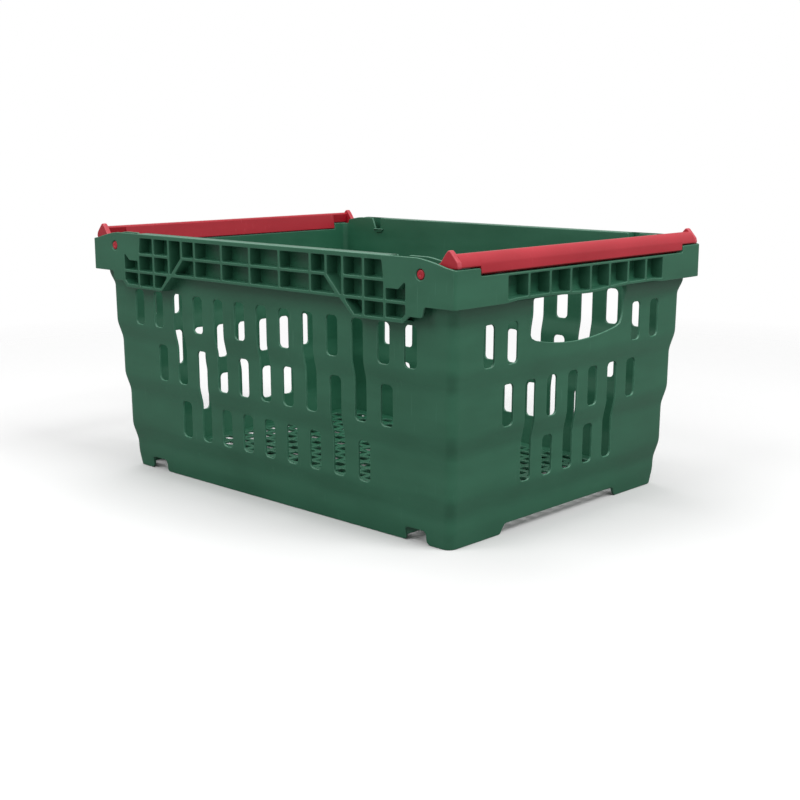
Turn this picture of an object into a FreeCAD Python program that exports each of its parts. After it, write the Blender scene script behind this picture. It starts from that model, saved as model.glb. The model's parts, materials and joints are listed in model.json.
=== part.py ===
import FreeCAD, Part
import os
from math import pi, sin, cos, radians

os.makedirs("parts", exist_ok=True)

# Stacking crate with two swing-over arms. Millimetres, +Z up, the length along X, the width along Y.
# The origin is the centre of the footprint, on the surface that the crate stands on.

# ---- driving dimensions -------------------------------------------------------------------
LENGTH = 600.0            # outside of the rim, along X
WIDTH = 440.0             # outside of the rim, along Y
HEIGHT = 300.0            # floor to the top of the long rims
WALL = 2.8                # moulded wall thickness
RIM_WEB = 3.2             # thickness of the ribs in the rim skirts
RIM_DEPTH = 15.0          # depth of the rim skirts, from the outer face to the wall behind and below
RIM_CORNER_R = 3.5        # outer corner radius of the rim
BODY_CORNER_R = 10.0      # outer corner radius of the walls below the rim

# rim skirt levels, all measured down from HEIGHT
FLANGE_T = 4.8            # top flange of the long rims
MID_RIB_DROP = 24.7       # centre of the rib between rows 1 and 2
LOW_RIB_DROP = 45.7       # centre of the rib between rows 2 and 3
SKIRT_DROP = 47.4         # lower edge of the skirt at the middle, the corners and the ends
END_SKIRT_DROP = 65.8     # lower edge of the deeper stretches beside the corners
TAB_DROP = 58.4           # lower edge of the tab between the deep stretch and the corner
END_RIM_DROP = 9.5        # the end rims lie this much below the long ones
RECESS_DROP = 17.5        # floor of the recess in each end rim that takes the arm's lip

# rim skirt places along X, measured in from the end of the crate
PLATE_IN = 65.0           # inner end of the closed plate that covers the arm pocket
TAB_IN = 43.0             # end of the tab below that plate
RIB_SPACING = 30.0        # spacing of the ribs in the deep stretches
SHORT_CELL = 24.7         # width of the tall cell between a deep stretch and the middle
MID_CELLS = 3             # cells each side of the centre line

# wall profile
STEP_INSET = 4.6          # each step brings the wall in this much
BAND_DRAFT = 0.4          # draft of each band between steps
STEP_HALF = 10.0          # half the height of a sloping step
FIRST_STEP_Z = 43.2       # centre of the lowest step
TOP_BAND = 74.7           # centre of the highest step to the skirt's lower edge, less the flare
FLARE_H = 19.0            # height of the flare that runs out under the rim
FLARE_OUT = 4.5
SKID_Z = 17.9             # top of the bottom band
SKID_DRAFT = 2.5

# ventilation slots
SLOT_W = 17.4
SIDE_SLOT_MARGIN = 72.0   # centre of the last slot in from the end of the crate
END_SLOT_PITCH = 37.4
END_FIELD_IN = 77.0       # ends of the open cells of the end rim, in from the rim's outer face
SLOT_CLEAR = 10.9         # slot ends stay this far from the centre of a step
TOP_SLOT_CLEAR = 22.0     # the top row ends this far below the skirt

# hand hole in each end wall
HAND_HALF = 85.0
HAND_DROP = 46.3          # height of the hole's sides, down from the skirt's lower edge
HAND_SAG = 7.9            # the lower edge curves down this much at its middle
HAND_CORNER_R = 11.0

# base
FLOOR_T = 3.0
SPINE_T = 2.8
FLOOR_PITCH = 26.0
FLOOR_BAR = 7.0
CHANNEL_W = 29.0          # channels across the base, over the arms of the crate below
CHANNEL_H = 14.7
END_LIFT = 11.0           # the end walls stop this far above the surface, between the feet
FOOT_LENGTH = 116.5       # each foot, along the end wall, from the rim's outer face
RIB_LIFT = 5.0

# swing arms
PIVOT_IN = 45.2           # pivot axis, in from the end of the crate
PIVOT_DROP = 16.1         # pivot axis below HEIGHT
PIN_R = 4.25
PIN_CLEAR = 0.08
PIN_RECESS = 0.2
HUB_R = 8.0
HUB_CLEAR = 0.4
LEG_T = 6.5
LEG_CLEAR = 2.2           # leg to the outer plate
POCKET_END_IN = 8.0       # end of the arm pocket, in from the end of the crate
POCKET_DEPTH = 29.7       # pocket floor below HEIGHT
REST_CLEAR = 0.7          # arm above the end rim at rest
BAR_W = 16.0
BAR_END_W = 11.5
BAR_IN = 0.5              # outer face of the bar, in from the rim's outer face
BAR_TOP = 5.0             # top of the bar above HEIGHT
BAR_TOP_W = 4.5
FIN_TOP = 8.8             # top of the fins above HEIGHT
RECESS_IN = 38.0          # ends of the recess in the end rim, in from the rim's outer face
LIP_CLEAR = 1.0
SEAT_DROP = 14.7          # seat of the swung-in arm below HEIGHT
SEAT_LENGTH = 32.0
SEAT_T = 3.0
SEAT_H = 4.5

# ---- places worked out from them -----------------------------------------------------------
half_l = LENGTH / 2
half_w = WIDTH / 2
skirt_z = HEIGHT - SKIRT_DROP
deep_z = HEIGHT - END_SKIRT_DROP
tab_z = HEIGHT - TAB_DROP
mid_rib_z = HEIGHT - MID_RIB_DROP
low_rib_z = HEIGHT - LOW_RIB_DROP
end_top = HEIGHT - END_RIM_DROP
recess_z = HEIGHT - RECESS_DROP
recess_half = half_w - RECESS_IN
step_pitch = (skirt_z - TOP_BAND - 2.0 - FIRST_STEP_Z) / 2
steps = [FIRST_STEP_Z + i * step_pitch for i in range(3)]
split_x = half_l - 55.0
split_y = half_w - 50.0
end_field = half_w - END_FIELD_IN
inner_e = RIM_DEPTH + WALL
pivot_x = half_l - PIVOT_IN
pivot_z = HEIGHT - PIVOT_DROP
pocket_z = HEIGHT - POCKET_DEPTH
plate_x = half_l - PLATE_IN
slot_x = plate_x - RIB_SPACING + 4.5
seat_z = HEIGHT - SEAT_DROP
channel_x = pivot_x - 34.3


def polygon(points):
    return Part.makePolygon([FreeCAD.Vector(*p) for p in points] + [FreeCAD.Vector(*points[0])])


def prism_y(points, y0, y1):
    """A closed outline in XZ, carried along Y."""
    face = Part.Face(polygon([(x, y0, z) for x, z in points]))
    return face.extrude(FreeCAD.Vector(0, y1 - y0, 0))


def prism_x(points, x0, x1):
    """A closed outline in YZ, carried along X."""
    face = Part.Face(polygon([(x0, y, z) for y, z in points]))
    return face.extrude(FreeCAD.Vector(x1 - x0, 0, 0))


def block(x0, x1, y0, y1, z0, z1):
    corner = FreeCAD.Vector(min(x0, x1), min(y0, y1), min(z0, z1))
    return Part.makeBox(abs(x1 - x0), abs(y1 - y0), abs(z1 - z0), corner)


def fused(shapes):
    result = shapes[0]
    if len(shapes) > 1:
        result = result.multiFuse(shapes[1:])
    return result.removeSplitter()


def cut(shape, tools):
    return shape.cut(Part.makeCompound(tools))


def mirrored(shape, x=False, y=False):
    if x:
        shape = shape.mirror(FreeCAD.Vector(0, 0, 0), FreeCAD.Vector(1, 0, 0))
    if y:
        shape = shape.mirror(FreeCAD.Vector(0, 0, 0), FreeCAD.Vector(0, 1, 0))
    return shape


def save(shape, name):
    solids = shape.Solids
    result = solids[0] if len(solids) == 1 else Part.makeCompound(solids)
    result.exportStep("parts/" + name + ".step")


def rounded_prism(inset, corner_r, z0, z1):
    """The crate's outline moved in by inset, with rounded upright edges."""
    box = block(inset - half_l, half_l - inset, inset - half_w, half_w - inset, z0, z1)
    upright = [e for e in box.Edges if abs(e.Vertexes[0].Z - e.Vertexes[1].Z) > 1.0]
    return box.makeFillet(corner_r, upright)


# ---- wall profile ---------------------------------------------------------------------------
def wall_levels():
    """Heights with the inset of the wall's outer face, from the bottom up to the flare."""
    inset = RIM_DEPTH
    levels = [(skirt_z - FLARE_H - 2.0, inset)]
    for z in reversed(steps):
        inset += BAND_DRAFT
        levels.append((z + STEP_HALF, inset))
        inset += STEP_INSET
        levels.append((z - STEP_HALF, inset))
    inset += BAND_DRAFT
    levels.append((SKID_Z, inset))
    levels.append((0.0, inset + SKID_DRAFT))
    return list(reversed(levels))


base_inset = wall_levels()[0][1] + WALL


def wall_outline(top, flare, half):
    """The wall's section: distance from the centre plane, and height."""
    outer = [(half - e, z) for z, e in wall_levels()]
    if flare:
        outer.append((half - RIM_DEPTH + FLARE_OUT, skirt_z - 2.0))
        outer.append((half - RIM_DEPTH + FLARE_OUT, skirt_z))
        outer.append((half - RIM_DEPTH, skirt_z))
    outer.append((half - RIM_DEPTH, top))
    inner = [(half - e - WALL, z) for z, e in wall_levels() if z > SKID_Z]
    inner = [(half - base_inset, 0.0), (half - base_inset, SKID_Z)] + inner
    inner.append((half - inner_e, top))
    return outer + list(reversed(inner))


def slot_cutter(u, z0, z1, along, near, far):
    """A round-ended slot through a wall. along is 'x' or 'y', the direction across the slot."""
    r = SLOT_W / 2
    low = z0 + r
    high = z1 - r
    depth = far - near

    def at(a, z):
        return FreeCAD.Vector(a, near, z) if along == "x" else FreeCAD.Vector(near, a, z)

    edges = [
        Part.LineSegment(at(u - r, low), at(u - r, high)).toShape(),
        Part.Arc(at(u - r, high), at(u, high + r), at(u + r, high)).toShape(),
        Part.LineSegment(at(u + r, high), at(u + r, low)).toShape(),
        Part.Arc(at(u + r, low), at(u, low - r), at(u - r, low)).toShape(),
    ]
    direction = FreeCAD.Vector(0, depth, 0) if along == "x" else FreeCAD.Vector(depth, 0, 0)
    return Part.Face(Part.Wire(edges)).extrude(direction)


row_a = (steps[2] + SLOT_CLEAR, skirt_z - TOP_SLOT_CLEAR)
row_b = (steps[1] + SLOT_CLEAR, steps[2] - SLOT_CLEAR)
row_c = (steps[0] + SLOT_CLEAR, steps[1] - SLOT_CLEAR)


def slot_spans(pitch, last_a, last_b, last_c, joined_ab, joined_bc, first_a=0):
    """Places and heights of the slots of one wall, with the joined ones as one long slot."""
    spans = []
    for k in range(-last_a, last_a + 1):
        if abs(k) < first_a:
            continue
        low = row_b[0] if abs(k) in joined_ab else row_a[0]
        spans.append((k * pitch, low, row_a[1]))
    for k in range(-last_b, last_b + 1):
        if abs(k) in joined_ab:
            continue
        low = row_c[0] if abs(k) in joined_bc else row_b[0]
        spans.append((k * pitch, low, row_b[1]))
    for k in range(-last_c, last_c + 1):
        if abs(k) in joined_bc:
            continue
        spans.append((k * pitch, row_c[0], row_c[1]))
    return spans


side_pitch = (LENGTH - 2 * SIDE_SLOT_MARGIN) / 12
end_pitch = END_SLOT_PITCH * WIDTH / 400.0
side_slots = slot_spans(side_pitch, 6, 5, 4, (0, 2, 4), (3,))
end_slots = slot_spans(end_pitch, 4, 3, 2, (), (0, 2), first_a=3)


# ---- arm outlines ---------------------------------------------------------------------------
bar_x = half_l - BAR_IN
bar_top = HEIGHT + BAR_TOP


def bar_outline(width, bottom):
    """Section of the arm's bar in XZ: flat below, domed outside."""
    rise = bar_top - bottom
    return [
        (bar_x - width, bottom),
        (bar_x, bottom),
        (bar_x, bar_top - 11.0),
        (bar_x - 1.2, bar_top - 7.6),
        (bar_x - 3.2, bar_top - 4.2),
        (bar_x - 5.6, bar_top - 1.4),
        (bar_x - 8.0, bar_top),
        (bar_x - 8.0 - BAR_TOP_W, bar_top),
        (bar_x - 8.0 - BAR_TOP_W - 1.2, bar_top - min(1.6, rise / 4)),
    ]


def leg_outline():
    """The leg from the hub to the fin, in XZ."""
    fin_z = HEIGHT + FIN_TOP
    rest_z = end_top + REST_CLEAR
    return [
        (pivot_x - 2.0, pivot_z + HUB_R - 0.3),
        (half_l - 24.5, HEIGHT - 4.5),
        (half_l - 17.5, HEIGHT + 6.4),
        (half_l - 15.4, HEIGHT + 8.2),
        (half_l - 13.0, fin_z),
        (half_l - 10.4, HEIGHT + 8.2),
        (half_l - 8.3, HEIGHT + 6.4),
        (half_l - 2.0, HEIGHT - 2.0),
        (half_l - 0.7, HEIGHT - 6.5),
        (half_l - 1.6, rest_z),
        (half_l - POCKET_END_IN - 1.2, rest_z),
        (half_l - POCKET_END_IN - 2.5, rest_z - 6.0),
        (pivot_x + 2.0, pivot_z - HUB_R + 0.3),
    ]


# ---- nodes ----------------------------------------------------------------------------------
def side_wall():
    """Long wall at -Y: stepped section, slots, the arm seats' notches and the base channels."""
    outline = [(-y, z) for y, z in wall_outline(HEIGHT, False, half_w)]
    wall = prism_x(outline, -split_x, split_x)
    tools = [slot_cutter(x, z0, z1, "x", -half_w, -half_w + 60.0) for x, z0, z1 in side_slots]
    for side in (-1, 1):
        notch = [
            (channel_x - 10.2, HEIGHT + 5.0),
            (channel_x - 10.2, seat_z),
            (channel_x - 0.7, seat_z),
            (channel_x + 6.0, HEIGHT),
            (channel_x + 6.0, HEIGHT + 5.0),
        ]
        tools.append(prism_y([(side * x, z) for x, z in notch], -half_w, -half_w + 60.0))
        tools.append(channel_cutter(side))
    return cut(wall, tools)


def channel_cutter(side):
    half = CHANNEL_W / 2
    outline = [
        (channel_x - half, -1.0),
        (channel_x - half, CHANNEL_H - 4.0),
        (channel_x - half + 4.0, CHANNEL_H),
        (channel_x + half - 4.0, CHANNEL_H),
        (channel_x + half, CHANNEL_H - 4.0),
        (channel_x + half, -1.0),
    ]
    return prism_y([(side * x, z) for x, z in outline], -half_w, half_w)


def hand_outline():
    """The hand hole in YZ: straight sides, rounded lower corners, a lower edge that sags."""
    side_z = skirt_z - HAND_DROP
    r = HAND_CORNER_R
    points = [(-HAND_HALF, skirt_z), (-HAND_HALF, side_z + r)]
    for i in range(1, 7):
        a = radians(i * 13.0)
        points.append((-HAND_HALF + r - r * cos(a), side_z + r - r * sin(a)))
    count = 12
    edge = points[-1]
    for i in range(1, count):
        t = -1 + 2 * i / count
        points.append((t * -edge[0], edge[1] - HAND_SAG * (1 - t * t)))
    return points + [(-y, z) for y, z in reversed(points[:8])]


def end_wall():
    """End wall at +X: stepped section, slots, the hand hole and the raised lower edge."""
    outline = wall_outline(recess_z, True, half_l)
    face = Part.Face(polygon([(x, -split_y, z) for x, z in outline]))
    wall = face.extrude(FreeCAD.Vector(0, 2 * split_y, 0))
    tools = [slot_cutter(y, z0, z1, "y", half_l - 60.0, half_l) for y, z0, z1 in end_slots]
    tools.append(prism_x(hand_outline(), half_l - 60.0, half_l))
    inner = half_w - FOOT_LENGTH
    lift = [
        (-inner, -1.0),
        (-inner, END_LIFT - 5.0),
        (-inner + 5.0, END_LIFT),
        (inner - 5.0, END_LIFT),
        (inner, END_LIFT - 5.0),
        (inner, -1.0),
    ]
    tools.append(prism_x(lift, half_l - 60.0, half_l))
    return cut(wall, tools)


def corner_wire(e, r, thickness_e, thickness_r, z):
    """L-shaped section of a corner post at one height, rounded outside and inside."""

    def run(inset, radius):
        x = half_l - inset
        y = half_w - inset
        k = radius * (1 - cos(pi / 4))
        return [
            FreeCAD.Vector(split_x, -y, z),
            FreeCAD.Vector(x - radius, -y, z),
            FreeCAD.Vector(x - k, -y + k, z),
            FreeCAD.Vector(x, -y + radius, z),
            FreeCAD.Vector(x, -split_y, z),
        ]

    o = run(e, r)
    i = run(thickness_e, thickness_r)
    edges = [
        Part.LineSegment(o[0], o[1]).toShape(),
        Part.Arc(o[1], o[2], o[3]).toShape(),
        Part.LineSegment(o[3], o[4]).toShape(),
        Part.LineSegment(o[4], i[4]).toShape(),
        Part.LineSegment(i[4], i[3]).toShape(),
        Part.Arc(i[3], i[2], i[1]).toShape(),
        Part.LineSegment(i[1], i[0]).toShape(),
        Part.LineSegment(i[0], o[0]).toShape(),
    ]
    return Part.Wire(edges)


def shoulder(y0, y1):
    """What is cut away above the rounded shoulder at the ends of the long rims."""
    start = half_l - 50.0
    mid = FreeCAD.Vector(half_l - 19.0, y0, HEIGHT - 5.6)
    edges = [
        Part.Arc(
            FreeCAD.Vector(start, y0, HEIGHT),
            FreeCAD.Vector(half_l - 32.0, y0, HEIGHT - 2.2),
            mid,
        ).toShape(),
        Part.LineSegment(mid, FreeCAD.Vector(half_l, y0, end_top)).toShape(),
        Part.LineSegment(
            FreeCAD.Vector(half_l, y0, end_top), FreeCAD.Vector(half_l + 5, y0, end_top)
        ).toShape(),
        Part.LineSegment(
            FreeCAD.Vector(half_l + 5, y0, end_top), FreeCAD.Vector(half_l + 5, y0, HEIGHT + 5)
        ).toShape(),
        Part.LineSegment(
            FreeCAD.Vector(half_l + 5, y0, HEIGHT + 5), FreeCAD.Vector(start, y0, HEIGHT + 5)
        ).toShape(),
        Part.LineSegment(
            FreeCAD.Vector(start, y0, HEIGHT + 5), FreeCAD.Vector(start, y0, HEIGHT)
        ).toShape(),
    ]
    return Part.Face(Part.Wire(edges)).extrude(FreeCAD.Vector(0, y1 - y0, 0))


def rim_cutters():
    """Spaces above the end rims: the arm's bed and the recess for its lip."""
    x0 = half_l - inner_e - 2.0
    bed = block(half_l - RIM_DEPTH, half_l + 5.0, -half_w + WALL, half_w - WALL, end_top, HEIGHT + 5)
    lip = block(x0, half_l + 5.0, -recess_half, recess_half, recess_z, HEIGHT + 5.0)
    return [bed, lip, shoulder(-half_w, half_w)]


def corner_post():
    """Corner at (+X, -Y), from the foot up to the rim, with the wall behind the arm pocket."""
    inner_r = BODY_CORNER_R - WALL
    levels = wall_levels() + [(skirt_z - 2.0, RIM_DEPTH - FLARE_OUT)]
    levels.append((skirt_z, RIM_DEPTH - FLARE_OUT))
    lofts = []
    for (z0, e0), (z1, e1) in zip(levels, levels[1:]):
        ins = []
        for z, e in ((z0, e0), (z1, e1)):
            if z0 < SKID_Z:
                ins.append(base_inset)
            else:
                ins.append(max(e, RIM_DEPTH) + WALL)
        low = corner_wire(e0, BODY_CORNER_R, ins[0], inner_r, z0)
        high = corner_wire(e1, BODY_CORNER_R, ins[1], inner_r, z1)
        lofts.append(Part.makeLoft([low, high], True, True))
    upper = Part.Face(corner_wire(RIM_DEPTH, BODY_CORNER_R, inner_e, inner_r, skirt_z))
    lofts.append(upper.extrude(FreeCAD.Vector(0, 0, HEIGHT - skirt_z)))
    return cut(fused(lofts), rim_cutters())


def rib_places():
    """Rib centre lines of a long rim for X > 0: middle ribs, then those of the deep stretch."""
    deep = [plate_x + RIM_WEB / 2 - i * RIB_SPACING for i in range(4)]
    first_deep = deep[3]
    mid = [first_deep * i / MID_CELLS for i in range(MID_CELLS)]
    return mid, first_deep - SHORT_CELL, list(reversed(deep))


def side_cells():
    """Outlines in XZ of the open cells of a long rim, for X > 0, and the one on the centre."""
    mid, diagonal_x, deep = rib_places()
    w = RIM_WEB / 2
    top = HEIGHT - FLANGE_T
    mid_up = mid_rib_z + w
    mid_down = mid_rib_z - w
    low_up = low_rib_z + w
    low_down = low_rib_z - w
    bottom = deep_z + RIM_WEB
    lean = (mid_rib_z - low_rib_z)
    cells = []
    for a, b in zip(mid, mid[1:]):
        cells.append([(a + w, mid_up), (b - w, mid_up), (b - w, top), (a + w, top)])
        cells.append([(a + w, low_up), (b - w, low_up), (b - w, mid_down), (a + w, mid_down)])
    last = mid[-1] + w
    edge = diagonal_x - w
    cells.append([(last, mid_up), (edge, mid_up), (edge, top), (last, top)])
    cells.append(
        [(last, low_up), (edge + lean - 5.0, low_up), (edge - 1.0, mid_down), (last, mid_down)]
    )
    tall = deep[0] - w
    cells.append(
        [
            (diagonal_x + w, top),
            (diagonal_x + w, mid_rib_z),
            (tall, mid_rib_z - (tall - diagonal_x - w)),
            (tall, top),
        ]
    )
    for n, (a, b) in enumerate(zip(deep, deep[1:])):
        left = a + w
        right = b - w
        if n < 2:
            over = right - (2.6 if n == 1 else 0.0)
            cells.append([(left, mid_up), (over, mid_up), (over, top), (left, top)])
            cells.append(
                [(left, low_up), (right, low_up), (right, mid_down), (left, mid_down)]
            )
        else:
            cells.append(
                [
                    (left, low_up),
                    (right, low_up),
                    (right, pocket_z + 5.5),
                    (right - 10.0, pocket_z - WALL),
                    (left, pocket_z - WALL),
                ]
            )
        if n == 0:
            cells.append(
                [(left + 1.0, low_down), (left + 15.0, bottom), (right, bottom), (right, low_down)]
            )
        elif n == 1:
            cells.append([(left, bottom), (right, bottom), (right, low_down), (left, low_down)])
        else:
            cells.append(
                [
                    (left, bottom + 1.0),
                    (right - 6.0, bottom + 1.0),
                    (right, bottom + 6.0),
                    (right, low_down),
                    (left, low_down),
                ]
            )
    return cells


def skirt_edge():
    """The lower edge of a long rim in XZ for X > 0, from the centre out to the corner."""
    deep_start = rib_places()[2][0] - 4.7
    return [
        (0.0, skirt_z),
        (deep_start, skirt_z),
        (deep_start + 20.0, deep_z),
        (plate_x - 3.0, deep_z),
        (plate_x + 5.0, tab_z),
        (half_l - TAB_IN, tab_z),
        (half_l - TAB_IN + 3.0, skirt_z),
        (half_l, skirt_z),
    ]


def edge_at(x):
    """Height of the lower edge at a place along X."""
    points = skirt_edge()
    for (x0, z0), (x1, z1) in zip(points, points[1:]):
        if x0 <= x <= x1:
            return z0 + (z1 - z0) * (x - x0) / (x1 - x0)
    return skirt_z


def side_rim():
    """Long rim at -Y between the arm pockets: flange, ribs and the ends of the pockets."""
    inside = [p for p in skirt_edge() if p[0] < plate_x]
    right = inside + [(plate_x, edge_at(plate_x)), (plate_x, HEIGHT)]
    outline = [(-x, z) for x, z in reversed(right)] + right[1:]
    rim = prism_y(outline, -half_w, -half_w + RIM_DEPTH)
    tools = []
    for cell in side_cells():
        for side in (-1, 1):
            tools.append(prism_y([(side * x, z) for x, z in cell], -half_w - 1, -half_w + RIM_DEPTH))
    pocket = [
        (slot_x, HEIGHT + 1.0),
        (slot_x, pocket_z),
        (plate_x - 10.5, pocket_z),
        (plate_x, pocket_z + 8.5),
        (plate_x, HEIGHT + 1.0),
    ]
    for side in (-1, 1):
        mirror = [(side * x, z) for x, z in pocket]
        tools.append(prism_y(mirror, -half_w + WALL, -half_w + RIM_DEPTH))
    return cut(rim, tools)


def arm_pocket():
    """Corner of the rim at (+X, -Y): outer plate with the pivot hole, pocket, end plate."""
    y_in = -half_w + RIM_DEPTH
    y_end = -end_field
    long_part = block(plate_x, half_l, -half_w, y_in, skirt_z, HEIGHT)
    end_part = block(half_l - RIM_DEPTH, half_l, -half_w, y_end, skirt_z, end_top)
    outline = [(x, z) for x, z in skirt_edge() if plate_x < x < half_l - 1.0]
    tab = [(plate_x, edge_at(plate_x))] + outline + [(plate_x, skirt_z)]
    plate = prism_y(tab, -half_w, -half_w + WALL)
    pocket_end = half_l - POCKET_END_IN
    y_plate = -half_w + WALL
    tools = [
        block(plate_x - 1.0, pocket_end, y_plate, y_in, pocket_z, HEIGHT + 1.0),
        block(plate_x - 1.0, pocket_end, y_plate, y_in, skirt_z + WALL, pocket_z - WALL),
        block(half_l - RIM_DEPTH, half_l - WALL, y_in + WALL, y_end, skirt_z + WALL, recess_z - WALL),
        Part.makeCylinder(
            PIN_R + PIN_CLEAR,
            10.0,
            FreeCAD.Vector(pivot_x, -half_w - 5.0, pivot_z),
            FreeCAD.Vector(0, 1, 0),
        ),
    ]
    body = cut(fused([long_part, end_part, plate]), tools + rim_cutters())
    return body.common(rounded_prism(0.0, RIM_CORNER_R, 0.0, HEIGHT + 20.0))


def end_rim():
    """End rim at +X between the corners: eight open cells under the arm's recess."""
    y_end = end_field
    rim = block(half_l - RIM_DEPTH, half_l, -y_end, y_end, skirt_z, recess_z)
    pitch = end_cell_pitch()
    w = RIM_WEB / 2
    tools = []
    for i in range(-4, 4):
        y0 = i * pitch + w
        y1 = (i + 1) * pitch - w
        tools.append(
            block(half_l - RIM_DEPTH, half_l + 1.0, y0, y1, skirt_z + RIM_WEB, recess_z - 2.4)
        )
    return cut(rim, tools)


def end_cell_pitch():
    return (end_field - 1.5) / 4


def floor_panel():
    """Perforated floor, carried between the walls' bottom bands."""
    z0 = SKID_Z - FLOOR_T
    panel = rounded_prism(base_inset, BODY_CORNER_R - WALL, z0, SKID_Z)
    across_x = half_l - base_inset - 12.0
    across_y = half_w - base_inset - 12.0
    nx = int(2 * across_x / FLOOR_PITCH)
    ny = int(2 * across_y / (FLOOR_PITCH * 0.75))
    step_x = 2 * across_x / nx
    step_y = 2 * across_y / ny
    tools = []
    for i in range(nx):
        for j in range(ny):
            x0 = -across_x + i * step_x + FLOOR_BAR / 2
            y0 = -across_y + j * step_y + FLOOR_BAR / 2
            tools.append(
                block(x0, x0 + step_x - FLOOR_BAR, y0, y0 + step_y - FLOOR_BAR, z0 - 1, SKID_Z + 1)
            )
    return cut(panel, tools)


def floor_ribs():
    """Rib frame under the floor between the two channels for the arms of the crate below."""
    z1 = SKID_Z - FLOOR_T
    x_end = channel_x - CHANNEL_W / 2
    y_end = half_w - base_inset
    frame = block(-x_end, x_end, -y_end, y_end, RIB_LIFT, z1)
    nx = 8
    ny = 6
    step_x = (2 * x_end - SPINE_T) / nx
    step_y = (2 * y_end - SPINE_T) / ny
    tools = []
    for i in range(nx):
        for j in range(ny):
            x0 = -x_end + SPINE_T + i * step_x
            y0 = -y_end + SPINE_T + j * step_y
            tools.append(
                block(x0, x0 + step_x - SPINE_T, y0, y0 + step_y - SPINE_T, RIB_LIFT - 1, z1 + 1)
            )
    return cut(frame, tools)


def arm_seat():
    """Ledge on the inside of a long wall, under the notch that takes a swung-in arm."""
    y0 = -half_w + inner_e
    x1 = channel_x + 1.5
    return block(x1 - SEAT_LENGTH, x1, y0, y0 + SEAT_T, seat_z - SEAT_H, seat_z)


def bale_arm():
    """Arm at +X in one moulding: bar, lip, two legs with fins, hubs and pivot pins."""
    leg_out = half_w - WALL - LEG_CLEAR
    leg_in = leg_out - LEG_T
    lip_half = recess_half - LIP_CLEAR
    rest_z = end_top + REST_CLEAR
    lip_z = recess_z + REST_CLEAR
    parts = [
        prism_y(bar_outline(BAR_END_W, rest_z), -leg_in, leg_in),
        prism_y(bar_outline(BAR_W, lip_z), -lip_half, lip_half),
    ]
    for side in (-1, 1):
        parts.append(prism_y(leg_outline(), side * leg_in, side * leg_out))
        along = FreeCAD.Vector(0, side, 0)
        hub_length = half_w - WALL - HUB_CLEAR - leg_in
        parts.append(
            Part.makeCylinder(HUB_R, hub_length, FreeCAD.Vector(pivot_x, side * leg_in, pivot_z), along)
        )
        pin_length = half_w - PIN_RECESS - leg_in
        parts.append(
            Part.makeCylinder(PIN_R, pin_length, FreeCAD.Vector(pivot_x, side * leg_in, pivot_z), along)
        )
    return fused(parts)


def main():
    ends = (("left", True), ("right", False))
    sides = (("front", False), ("back", True))
    floor = floor_panel()
    save(floor, "floor_panel")
    save(floor_ribs(), "floor_rib_frame")
    wall = side_wall()
    rim = side_rim()
    for side, far in sides:
        save(mirrored(wall, y=far), "side_wall_" + side)
        save(mirrored(rim, y=far), "side_rim_" + side)
    wall = end_wall()
    rim = end_rim()
    arm = bale_arm()
    for end, flip in ends:
        save(mirrored(wall, x=flip), "end_wall_" + end)
        save(mirrored(rim, x=flip), "end_rim_" + end)
        save(mirrored(arm, x=flip), "bale_arm_" + end)
    post = corner_post()
    pocket = arm_pocket()
    seat = arm_seat()
    for side, far in sides:
        for end, flip in ends:
            where = side + "_" + end
            save(mirrored(post, x=flip, y=far), "corner_post_" + where)
            save(mirrored(pocket, x=flip, y=far), "arm_pocket_" + where)
            save(mirrored(seat, x=flip, y=far), "arm_seat_" + where)


main()
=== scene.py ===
import json
from math import atan2, cos, hypot, pi, radians, sin

import bmesh
import bpy
import numpy as np
from mathutils import Euler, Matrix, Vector, geometry


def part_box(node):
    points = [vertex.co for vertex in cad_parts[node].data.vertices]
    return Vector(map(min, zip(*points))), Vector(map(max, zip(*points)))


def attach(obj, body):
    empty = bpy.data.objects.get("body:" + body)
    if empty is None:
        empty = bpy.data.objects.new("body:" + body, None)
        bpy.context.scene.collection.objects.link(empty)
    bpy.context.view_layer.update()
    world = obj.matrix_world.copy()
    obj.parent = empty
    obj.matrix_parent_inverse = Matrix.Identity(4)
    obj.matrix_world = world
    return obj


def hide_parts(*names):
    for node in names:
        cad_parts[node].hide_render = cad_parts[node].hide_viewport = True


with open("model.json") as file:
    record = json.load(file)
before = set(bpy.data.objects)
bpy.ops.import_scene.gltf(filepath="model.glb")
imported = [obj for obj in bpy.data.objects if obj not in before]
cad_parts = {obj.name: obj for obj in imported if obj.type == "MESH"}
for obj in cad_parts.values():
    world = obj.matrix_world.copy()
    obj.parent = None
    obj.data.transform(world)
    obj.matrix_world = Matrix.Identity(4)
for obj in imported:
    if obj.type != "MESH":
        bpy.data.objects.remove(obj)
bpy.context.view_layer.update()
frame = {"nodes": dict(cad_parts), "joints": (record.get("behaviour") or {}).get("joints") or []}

# Lengths are in millimetres until a mesh is made, and +Z is up. The long walls face -Y and +Y.
MM = 0.001


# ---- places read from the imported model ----
def reach(node, corner, axis):
    """One side of a node's box, in millimetres. corner is 0 for the lowest and 1 for the highest."""
    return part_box(node)[corner][axis] / MM


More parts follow.
